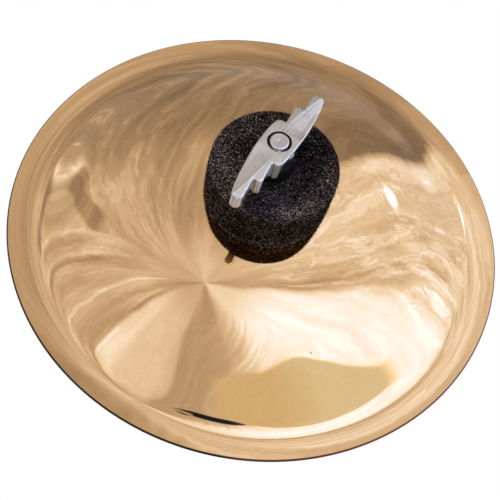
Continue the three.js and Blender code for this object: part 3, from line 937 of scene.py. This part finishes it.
def zinc_finish():
    finish, bench, spot = new_finish("satin_zinc")
    x, y, z = bench.split(spot)
    radius = bench.from_axis(x, y)
    normal = bench.add("ShaderNodeNewGeometry", output="Normal")
    facing_up = bench.ease(abs(bench.split(normal)[2]), 0.45, 0.75)
    wall = 1 - facing_up
    along = x * math.cos(WING_TURN) + y * math.sin(WING_TURN)
    across = y * math.cos(WING_TURN) - x * math.sin(WING_TURN)
    upright = bench.noise(bench.join(along, across, z * 0.05), 1500.0, 2, 0.6)
    lengthwise = bench.noise(bench.join(along * 0.07, across, z), 2600.0, 2, 0.6)
    brushed = bench.mix(facing_up, upright, lengthwise)
    grain = bench.noise(spot, 2600.0, 2, 0.6)
    clouds = bench.noise(spot, 240.0, 2)
    # A painted highlight runs along the ridge, and the side that slopes from the ridge is painted darker
    # than the ridge and the other side, a painted shade
    side = bench.math("SIGN", along)
    off_ridge = across * side - RIDGE_START + along * along * RIDGE_BEND
    on_wing = bench.ease(abs(along), 5.5 * MM, 8.5 * MM) * facing_up
    ridge_highlight = bench.pulse(off_ridge, 0.0, 0.20 * MM) * on_wing * bench.ease(clouds, 0.2, 0.5)
    shaded = bench.between(off_ridge, -1.1 * MM, -0.3 * MM, 0.3 * MM) * on_wing
    # The foot, the hub's wall and the bore are painted near black, a painted shade
    low = 1 - bench.ease(z, NUT_FLOOR + 4.6 * MM, NUT_FLOOR + 6.2 * MM)
    hub_wall_shade = wall * (1 - bench.ease(abs(along), 5.2 * MM, 5.9 * MM))
    hub_wall_shade = hub_wall_shade * (1 - bench.ease(z, NUT_FLOOR + 10.4 * MM, NUT_FLOOR + 11.6 * MM))
    low = bench.math("MAXIMUM", low, hub_wall_shade * 0.9)
    mouth = facing_up * bench.ease(z, 86.6 * MM, 86.8 * MM)
    bore_shade = (1 - bench.ease(radius, 3.62 * MM, 3.70 * MM)) * (1 - mouth)
    colour = bench.coats(
        bench.tint(clouds, (0.70, 0.585, 0.535), (0.79, 0.67, 0.62)),
        # Painted shade on the side that slopes from the ridge
        (shaded * 0.25, (0.42, 0.36, 0.33)),
        (bench.ease(brushed, 0.60, 0.72) * 0.5, (0.92, 0.90, 0.88)),
        (bench.ease(brushed, 0.42, 0.30) * 0.5, (0.27, 0.23, 0.22)),
        # Painted highlight along the ridge
        (ridge_highlight * 0.9, (1.0, 0.97, 0.95)),
        # Walls painted darker than the tops, a painted shade
        (wall * 0.8, (0.52, 0.45, 0.41)),
        (bench.ease(upright, 0.48, 0.36) * wall * 0.7, (0.80, 0.74, 0.71)),
        (bench.ease(upright, 0.52, 0.64) * wall * 0.6, (0.09, 0.075, 0.07)),
        # Painted shade on the foot, the hub's wall and the bore
        (bench.math("MAXIMUM", low * 0.93, bore_shade * 0.97), (0.03, 0.027, 0.026)),
    )
    roughness = bench.mix(facing_up, 0.26, 0.27) + grain * 0.08 + clouds * 0.05
    metallic = bench.mix(bench.math("MAXIMUM", facing_up, low), 0.68, 1.0)
    close_finish(bench, {
        "Base Color": colour, "Metallic": metallic, "Roughness": roughness,
    }, brushed * 0.6 + grain * 0.3, 0.05 * MM)
    return finish


satin_zinc = zinc_finish()
print("finish", satin_zinc.name)

# %% [markdown]
# The nut's edges are soft, as a mould and a tumbler leave them, so it is made like a casting. The outline
# of the wings is raised to a prism, and remeshing gives it fine even faces. Its top and underside are
# bent, the round foot is added, and the whole is remeshed and smoothed. The bore is cut last, because a
# drill leaves a crisp edge.

# %% Casting helpers
NUT_VOXEL = 0.22 * MM
TURN_SIDES = 96
SHARP_FROM = math.radians(38)


def plain_object(name, solid):
    data = bpy.data.meshes.new(name)
    solid.to_mesh(data)
    solid.free()
    made = bpy.data.objects.new(name, data)
    bpy.context.scene.collection.objects.link(made)
    return made


def apply_modifiers(made):
    """Makes what the modifiers show the object's own mesh."""
    graph = bpy.context.evaluated_depsgraph_get()
    data = bpy.data.meshes.new_from_object(made.evaluated_get(graph), depsgraph=graph)
    made.modifiers.clear()
    made.data = data


def remeshed(made, rounds):
    """Fine even faces with soft edges, as a casting has."""
    block = made.modifiers.new("block", "REMESH")
    block.mode, block.voxel_size = "VOXEL", NUT_VOXEL
    soft = made.modifiers.new("soft", "SMOOTH")
    soft.factor, soft.iterations = 0.5, rounds
    apply_modifiers(made)


def turned_block(profile):
    """A closed mesh from [radius, height] pairs in millimetres, from the axis to the axis."""
    solid = bmesh.new()
    rings = []
    for radius, height in profile:
        if radius == 0:
            rings.append([solid.verts.new((0, 0, height * MM))])
        else:
            rings.append([solid.verts.new((
                radius * MM * math.cos(2 * math.pi * side / TURN_SIDES),
                radius * MM * math.sin(2 * math.pi * side / TURN_SIDES), height * MM,
            )) for side in range(TURN_SIDES)])
    for low, high in zip(rings, rings[1:]):
        for side in range(TURN_SIDES):
            following = (side + 1) % TURN_SIDES
            if len(low) == 1:
                solid.faces.new((low[0], high[following], high[side]))
            elif len(high) == 1:
                solid.faces.new((low[side], low[following], high[0]))
            else:
                solid.faces.new((low[side], low[following], high[following], high[side]))
    return solid


print("casting helpers ready")

# %% [markdown]
# The plan gives one wing from above, in millimetres along it and across it, and how far its wall leans
# out at the foot. The long sides draw in towards the underside, so that the casting leaves its mould, and
# the faces of the two steps lean out. Turned half round, the same plan is the other wing.

# %% Wings
NUT_HEIGHT = 12.8 * MM
WING_REACH = 22.8 * MM
HUB_FLAT = 3.8 * MM
HUB_HALF_WIDTH = 5.4 * MM
TIP_START = 21.9 * MM
TIP_ROUNDING = 0.9 * MM
BLOCK_HEIGHT = 10 * MM
WING_PLAN = [
    (0, -5.35, -1.4), (3, -5.28, -1.4), (5.8, -5.15, -1.4), (8.2, -4.9, -1.4), (10.5, -4.6, -1.4),
    (15, -3.85, -1.2), (18.8, -3.0, -0.8), (21.6, -2.1, -0.1), (22.4, -1.6, 0.2), (22.8, -0.9, 0.4),
    (22.8, 0.3, 0.4), (22.4, 1.1, 0.2), (21.6, 1.55, 0.0), (20.4, 1.5, -0.3), (17.5, 1.12, -0.5),
    (14.5, 0.7, -0.2), (14.8, 1.6, 0.4), (14.75, 2.5, 0.4), (14.3, 3.1, 0.2), (13.5, 3.35, -0.3),
    (12.5, 3.15, -0.8), (9.8, 2.75, -0.8), (7.2, 2.35, -0.2), (7.2, 3.1, 0.4), (7.05, 3.9, 0.3),
    (6.6, 4.6, -0.1), (6.0, 4.95, -0.7), (4.8, 5.2, -1.2), (2.4, 5.38, -1.4),
]


def wing_heights(along, across):
    """Underside and top of the wings above the nut's foot, at a spot in metres."""
    past = max(0.0, abs(along) - HUB_FLAT) / (WING_REACH - HUB_FLAT)
    half_width = HUB_HALF_WIDTH * (1 - 0.62 * min(1.0, abs(along) / WING_REACH))
    off_ridge = (across * math.copysign(1, along) - RIDGE_START + RIDGE_BEND * along ** 2) / half_width
    side_fall = 0.45 * MM if off_ridge < 0 else 0.10 * MM
    fall = side_fall * min(1.0, past / 0.2) * min(1.0, abs(off_ridge))
    tip = min(1.0, max(0.0, (abs(along) - TIP_START) / TIP_ROUNDING))
    top = NUT_HEIGHT - 2.0 * MM * past ** 1.2 - fall - TIP_ROUNDING * tip ** 2
    floor = 5.3 * MM + 0.2 * MM * past
    return floor, top


plan = [Vector((x, y)) * MM for x, y, _ in WING_PLAN]
plan += [-point for point in plan]
drafts = [draft * MM for _, _, draft in WING_PLAN] * 2
wing_block = bmesh.new()
tops, bottoms = [], []
for before, point, after, draft in zip(plan[-1:] + plan, plan, plan[1:] + plan[:1], drafts):
    ahead = (after - before).normalized()
    foot_point = point + Vector((ahead.y, -ahead.x)) * draft
    tops.append(wing_block.verts.new((point.x, point.y, BLOCK_HEIGHT)))
    bottoms.append(wing_block.verts.new((foot_point.x, foot_point.y, 0)))
wing_block.faces.new(tops)
wing_block.faces.new(bottoms[::-1])
for here in range(len(plan)):
    wing_block.faces.new((bottoms[here - 1], bottoms[here], tops[here], tops[here - 1]))
wings = plain_object("wing_nut_cast", wing_block)
remeshed(wings, 2)
for vertex in wings.data.vertices:
    floor_height, top_height = wing_heights(vertex.co.x, vertex.co.y)
    share = vertex.co.z / BLOCK_HEIGHT
    vertex.co.z = floor_height + (top_height - floor_height) * share
print("wings with", len(wings.data.vertices), "points")

# %% [markdown]
# The round foot overlaps the wings, and the second remesh fuses them. The bore is wider at the bottom,
# where the sleeve's collar turns in a pocket, and has a short clear mouth at the top.

# %% Foot and bore of the nut
FOOT_PROFILE = [
    (0, 0), (5.9, 0), (6.25, 0.2), (6.4, 0.55), (6.3, 1.1), (5.45, 5.6), (5.3, 6.4), (5.2, 9.5), (0, 9.5),
]
BORE_PROFILE = [
    (0, -2), (4.8, -2), (4.8, 1.4), (5.2, 1.4), (5.2, 3.2), (3.25, 3.2), (3.25, 11.4), (3.6, 11.4),
    (3.6, 12.55), (3.68, 12.72), (3.95, 12.95), (3.95, 15), (0, 15),
]
foot = plain_object("nut_foot", turned_block(FOOT_PROFILE))
whole = bmesh.new()
whole.from_mesh(wings.data)
whole.from_mesh(foot.data)
whole.to_mesh(wings.data)
whole.free()
remeshed(wings, 5)

drill = plain_object("nut_bore", turned_block(BORE_PROFILE))
cut = wings.modifiers.new("bore", "BOOLEAN")
cut.operation, cut.solver, cut.object = "DIFFERENCE", "EXACT", drill
apply_modifiers(wings)
for spare in (foot, drill):
    bpy.data.objects.remove(spare)

wings.data.transform(Matrix.Translation((0, 0, NUT_FLOOR)) @ Matrix.Rotation(WING_TURN, 4, "Z"))
wings.data.materials.clear()
wings.data.materials.append(satin_zinc)
wings.data.polygons.foreach_set("use_smooth", [True] * len(wings.data.polygons))
wings.data.set_sharp_from_angle(angle=SHARP_FROM)
tell_size(wings)
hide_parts("wing_nut")
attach(wings, "wing_nut")
print("wing nut node", shown(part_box("wing_nut")), "mm")

# %% [markdown]
# The rest of the stack is turned on a lathe, so one tree serves it all: it takes a section as a strip of
# points and turns it round the axis. What a lathe can't do comes as a rule that pulls the radius in at
# some angles: the thread, the grip's ridges, the spanner flats and the nut's six sides.

# %% Lathe
CORNER_STEPS = 4


def rounded(section, cut):
    """A section with its corners rounded, and a point kept close on both sides of each corner."""
    points = [Vector(point) for point in section]
    made = [points[0]]
    for before, corner, after in zip(points, points[1:], points[2:]):
        toward, away = before - corner, after - corner
        reach = min(cut, toward.length * 0.4, away.length * 0.4)
        start = corner + toward.normalized() * reach
        end = corner + away.normalized() * reach
        made.append(corner + toward.normalized() * reach * 1.25)
        for step in range(CORNER_STEPS + 1):
            share = step / CORNER_STEPS
            made.append(start.lerp(corner, share).lerp(corner.lerp(end, share), share))
        made.append(corner + away.normalized() * reach * 1.25)
    made.append(points[-1])
    return made


def lathe(name, section, sides, finish, rule=None, sharp=40, sizes=()):
    """A turned piece. The rule takes the bench, its named sizes, the angle, radius and height."""
    named = {"Sides": sides, "Stations": len(section), **dict(sizes)}
    tree, bench, values = new_tree("turn_" + name, named, takes_mesh=True)
    grid, angle, along = sheet_of_turns(bench, values["Sides"], values["Stations"])
    row = bench.math("ROUND", along * (values["Stations"] - 1))
    strip = bench.add("GeometryNodeInputPosition", output="Position")
    on_section = bench.add(
        "GeometryNodeSampleIndex", {"data_type": "FLOAT_VECTOR", "domain": "POINT"},
        {"Geometry": values["Geometry"], "Value": strip, "Index": row}, "Value",
    )
    radius, _, height = bench.split(on_section)
    if rule is not None:
        radius = rule(bench, values, angle, radius, height)
    shape = turned_round(bench, grid, angle, radius, height)
    close_tree(bench, shape, finish)
    strip_mesh = bpy.data.meshes.new(name + "_section")
    strip_mesh.from_pydata([(x * MM, 0, y * MM) for x, y in section], [], [])
    piece = grown(name, tree, named, strip_mesh)
    piece.data.set_sharp_from_angle(angle=math.radians(sharp))
    return piece


print("lathe ready")

# %% [markdown]
# The hardware has three finishes. The stud is bare turned steel, with rings on its end from the tool.
# The post, lock nut and washer are bright plated steel. The sleeve is black nylon.

# %% Hardware finishes
def steel_finish(name, dark, light, roughness, ring_depth):
    finish, bench, spot = new_finish(name)
    x, y, z = bench.split(spot)
    rings = bench.noise(bench.join(bench.from_axis(x, y), 0.0, z * 0.6), 5200.0, 2, 0.6)
    wear = bench.noise(spot, 420.0, 3, 0.6)
    clouds = bench.noise(spot, 90.0, 2)
    worn = tuple(part * 0.6 for part in dark)
    colour = bench.tint(bench.ease(wear, 0.62, 0.8) * 0.3, bench.tint(clouds, dark, light), worn)
    shine = roughness + wear * 0.12 + rings * 0.05
    close_finish(bench, {
        "Base Color": colour, "Metallic": 1.0, "Roughness": shine,
    }, rings + wear * 0.3, ring_depth)
    return finish


def nylon_finish():
    finish, bench, spot = new_finish("black_nylon")
    grain = bench.noise(spot, 1800.0, 3)
    scuffs = bench.noise(spot, 300.0, 3, 0.65)
    colour = bench.tint(scuffs, (0.012, 0.012, 0.013), (0.03, 0.03, 0.032))
    close_finish(bench, {
        "Base Color": colour, "Roughness": 0.42 + grain * 0.15,
    }, grain * 0.5 + scuffs, 0.05 * MM)
    return finish


turned_steel = steel_finish("turned_steel", (0.66, 0.57, 0.555), (0.78, 0.68, 0.665), 0.2, 0.03 * MM)
bright_plate = steel_finish("bright_plate", (0.62, 0.62, 0.63), (0.70, 0.70, 0.71), 0.07, 0.008 * MM)
black_nylon = nylon_finish()
print("finishes", turned_steel.name, bright_plate.name, black_nylon.name)

# %% [markdown]
# The stud is a six millimetre rod with a metric thread from end to end. A thread is a helix, so its
# rule pulls the radius in by a wave that runs up one pitch for each turn, and fades out at the ends.
# The section has seven points to the millimetre where the thread runs.

# %% Stud
THREAD_SPAN = 27.1 * MM, 86.4 * MM
POINTS_PER_MM = 7


def thread_rule(bench, values, angle, radius, height):
    turns = height / values["Pitch"] - angle / (2 * math.pi)
    wave = bench.math("PINGPONG", turns, 0.5) * 2
    groove = bench.ease(wave, 0.06, 0.94) * values["Thread depth"]
    clear = bench.between(height, *THREAD_SPAN, 0.35 * MM)
    rod = bench.math("GREATER_THAN", radius, 2.99 * MM)
    return radius - groove * clear * rod


stud_section = [(0, 26.3), (2.2, 26.3), (2.4, 26.3), (3.0, 26.9)]
thread_points = round(59.5 * POINTS_PER_MM)
stud_section += [(3.0, 27 + step / POINTS_PER_MM) for step in range(thread_points)]
stud_section += [
    (3.0, 86.6), (2.98, 86.7), (2.93, 86.85), (2.87, 86.98), (2.82, 87.1), (2.74, 87.2), (2.62, 87.27),
    (2.5, 87.3), (2.36, 87.3), (2.2, 87.29), (1.6, 87.27), (1.0, 87.26), (0.6, 87.25), (0.42, 87.21),
    (0.2, 87.17), (0, 87.16),
]
stud = lathe(
    "threaded_stud", stud_section, 48, turned_steel, thread_rule,
    sizes={"Pitch": 1.0 * MM, "Thread depth": 0.5 * MM},
)

# %% [markdown]
# The post is the long nut that joins the stud to a stand. Its grip has upright ridges for the fingers,
# and two flats higher up take a spanner. It is hollow from both ends: the stand's tip screws in below
# and the stud above.

# %% Mounting post
GRIP_SPAN = 4.25 * MM, 19.75 * MM
FLATS_SPAN = 27.995 * MM, 36.005 * MM
RIDGE_DEPTH = 0.5 * MM


def post_rule(bench, values, angle, radius, height):
    tooth = bench.math("PINGPONG", angle * (values["Ridges"] / (2 * math.pi)), 0.5) * 2
    tooth = bench.ease(tooth, 0.12, 0.88)
    grip = bench.between(height, *GRIP_SPAN, 0.3 * MM)
    outside = bench.math("GREATER_THAN", radius, 6.4 * MM)
    ridged = radius - RIDGE_DEPTH * (1 - tooth) * grip * outside
    sideways = bench.math("MAXIMUM", abs(bench.math("COSINE", angle)), 0.01)
    flat = values["Spanner size"] / 2 / sideways
    over_start = bench.math("GREATER_THAN", height, FLATS_SPAN[0])
    under_end = bench.math("LESS_THAN", height, FLATS_SPAN[1])
    return bench.mix(over_start * under_end * outside, ridged, bench.math("MINIMUM", ridged, flat))


post_section = rounded([
    (0, 16), (4.1, 13.8), (4.1, 0.6), (4.7, 0), (6.2, 0), (7, 0.8), (7, 3.9),
], 0.15)
post_section += [Vector((7, 4 + 0.25 * step)) for step in range(65)]
above_grip = (20.2, 24, 27.9, 27.98, 28.0, 30, 34, 36.0, 36.02, 36.1, 38)
post_section += [Vector((7, height)) for height in above_grip]
post_section += rounded([
    (7, 38.4), (7, 39.2), (6.2, 40), (3.9, 40), (3.3, 39.4), (3.3, 26), (0, 26),
], 0.15)
post = lathe(
    "post_body", post_section, 240, bright_plate, post_rule,
    sizes={"Ridges": 30, "Spanner size": 12 * MM},
)

# %% [markdown]
# The lock nut is a hexagon whose corners are turned off, so the rule takes whichever is nearer to the
# axis, the turned section or the flat side. The seat washer and the sleeve are plain turned rings, and
# the sleeve has a collar that snaps into the wing nut's foot.

# %% Lock nut, washer and sleeve
def hexagon_rule(bench, values, angle, radius, height):
    sixth = math.pi / 3
    from_flat = bench.math("WRAP", angle, sixth, 0.0) - sixth / 2
    flat = values["Spanner size"] / 2 / bench.math("COSINE", from_flat)
    return bench.math("MINIMUM", radius, flat)


nut_section = [(3.3, 42.5), (3.3, 40.5), (3.8, 40), (5.0, 40), (5.173, 40), (5.773, 40.6)]
nut_section += [(5.773, 40.8), (5.773, 42.5), (5.773, 44.2)]
nut_section += [(5.773, 44.4), (5.173, 45), (5.0, 45), (3.8, 45), (3.3, 44.5), (3.3, 42.5)]
lock_nut = lathe(
    "hexagon_lock_nut", nut_section, 96, bright_plate, hexagon_rule, 25, {"Spanner size": 10 * MM},
)
washer_section = rounded([
    (3.3, 46), (3.3, 45), (12.5, 45), (12.5, 47), (3.3, 47), (3.3, 46),
], 0.4)
seat = lathe("seat_disc", washer_section, 144, bright_plate)
sleeve_section = rounded([
    (3.3, 60), (3.3, 47.3), (4.5, 47.3), (4.5, 75.8), (4.9, 75.8), (4.9, 77.0), (3.3, 77.0), (3.3, 60),
], 0.2)
tube = lathe("nylon_sleeve", sleeve_section, 72, black_nylon)

HARDWARE = (
    (stud, "stud", "mount", "bright_steel"), (post, "mounting_post", "mount", "plated_steel"),
    (lock_nut, "lock_nut", "mount", "plated_steel"), (seat, "seat_washer", "mount", "plated_steel"),
    (tube, "sleeve", "sleeve", "nylon"),
)
for piece, node, body, slot in HARDWARE:
    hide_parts(node)
    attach(piece, body)
    print(piece.name, "for", node, shown(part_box(node)), "mm")

# %% [markdown]
# The box of the imported model and the box of the pieces made here should be the same. The second is
# printed here.

# %% Sizes
visual_box = [list(corner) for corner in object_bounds()]
print("visual box", shown(visual_box), "mm")
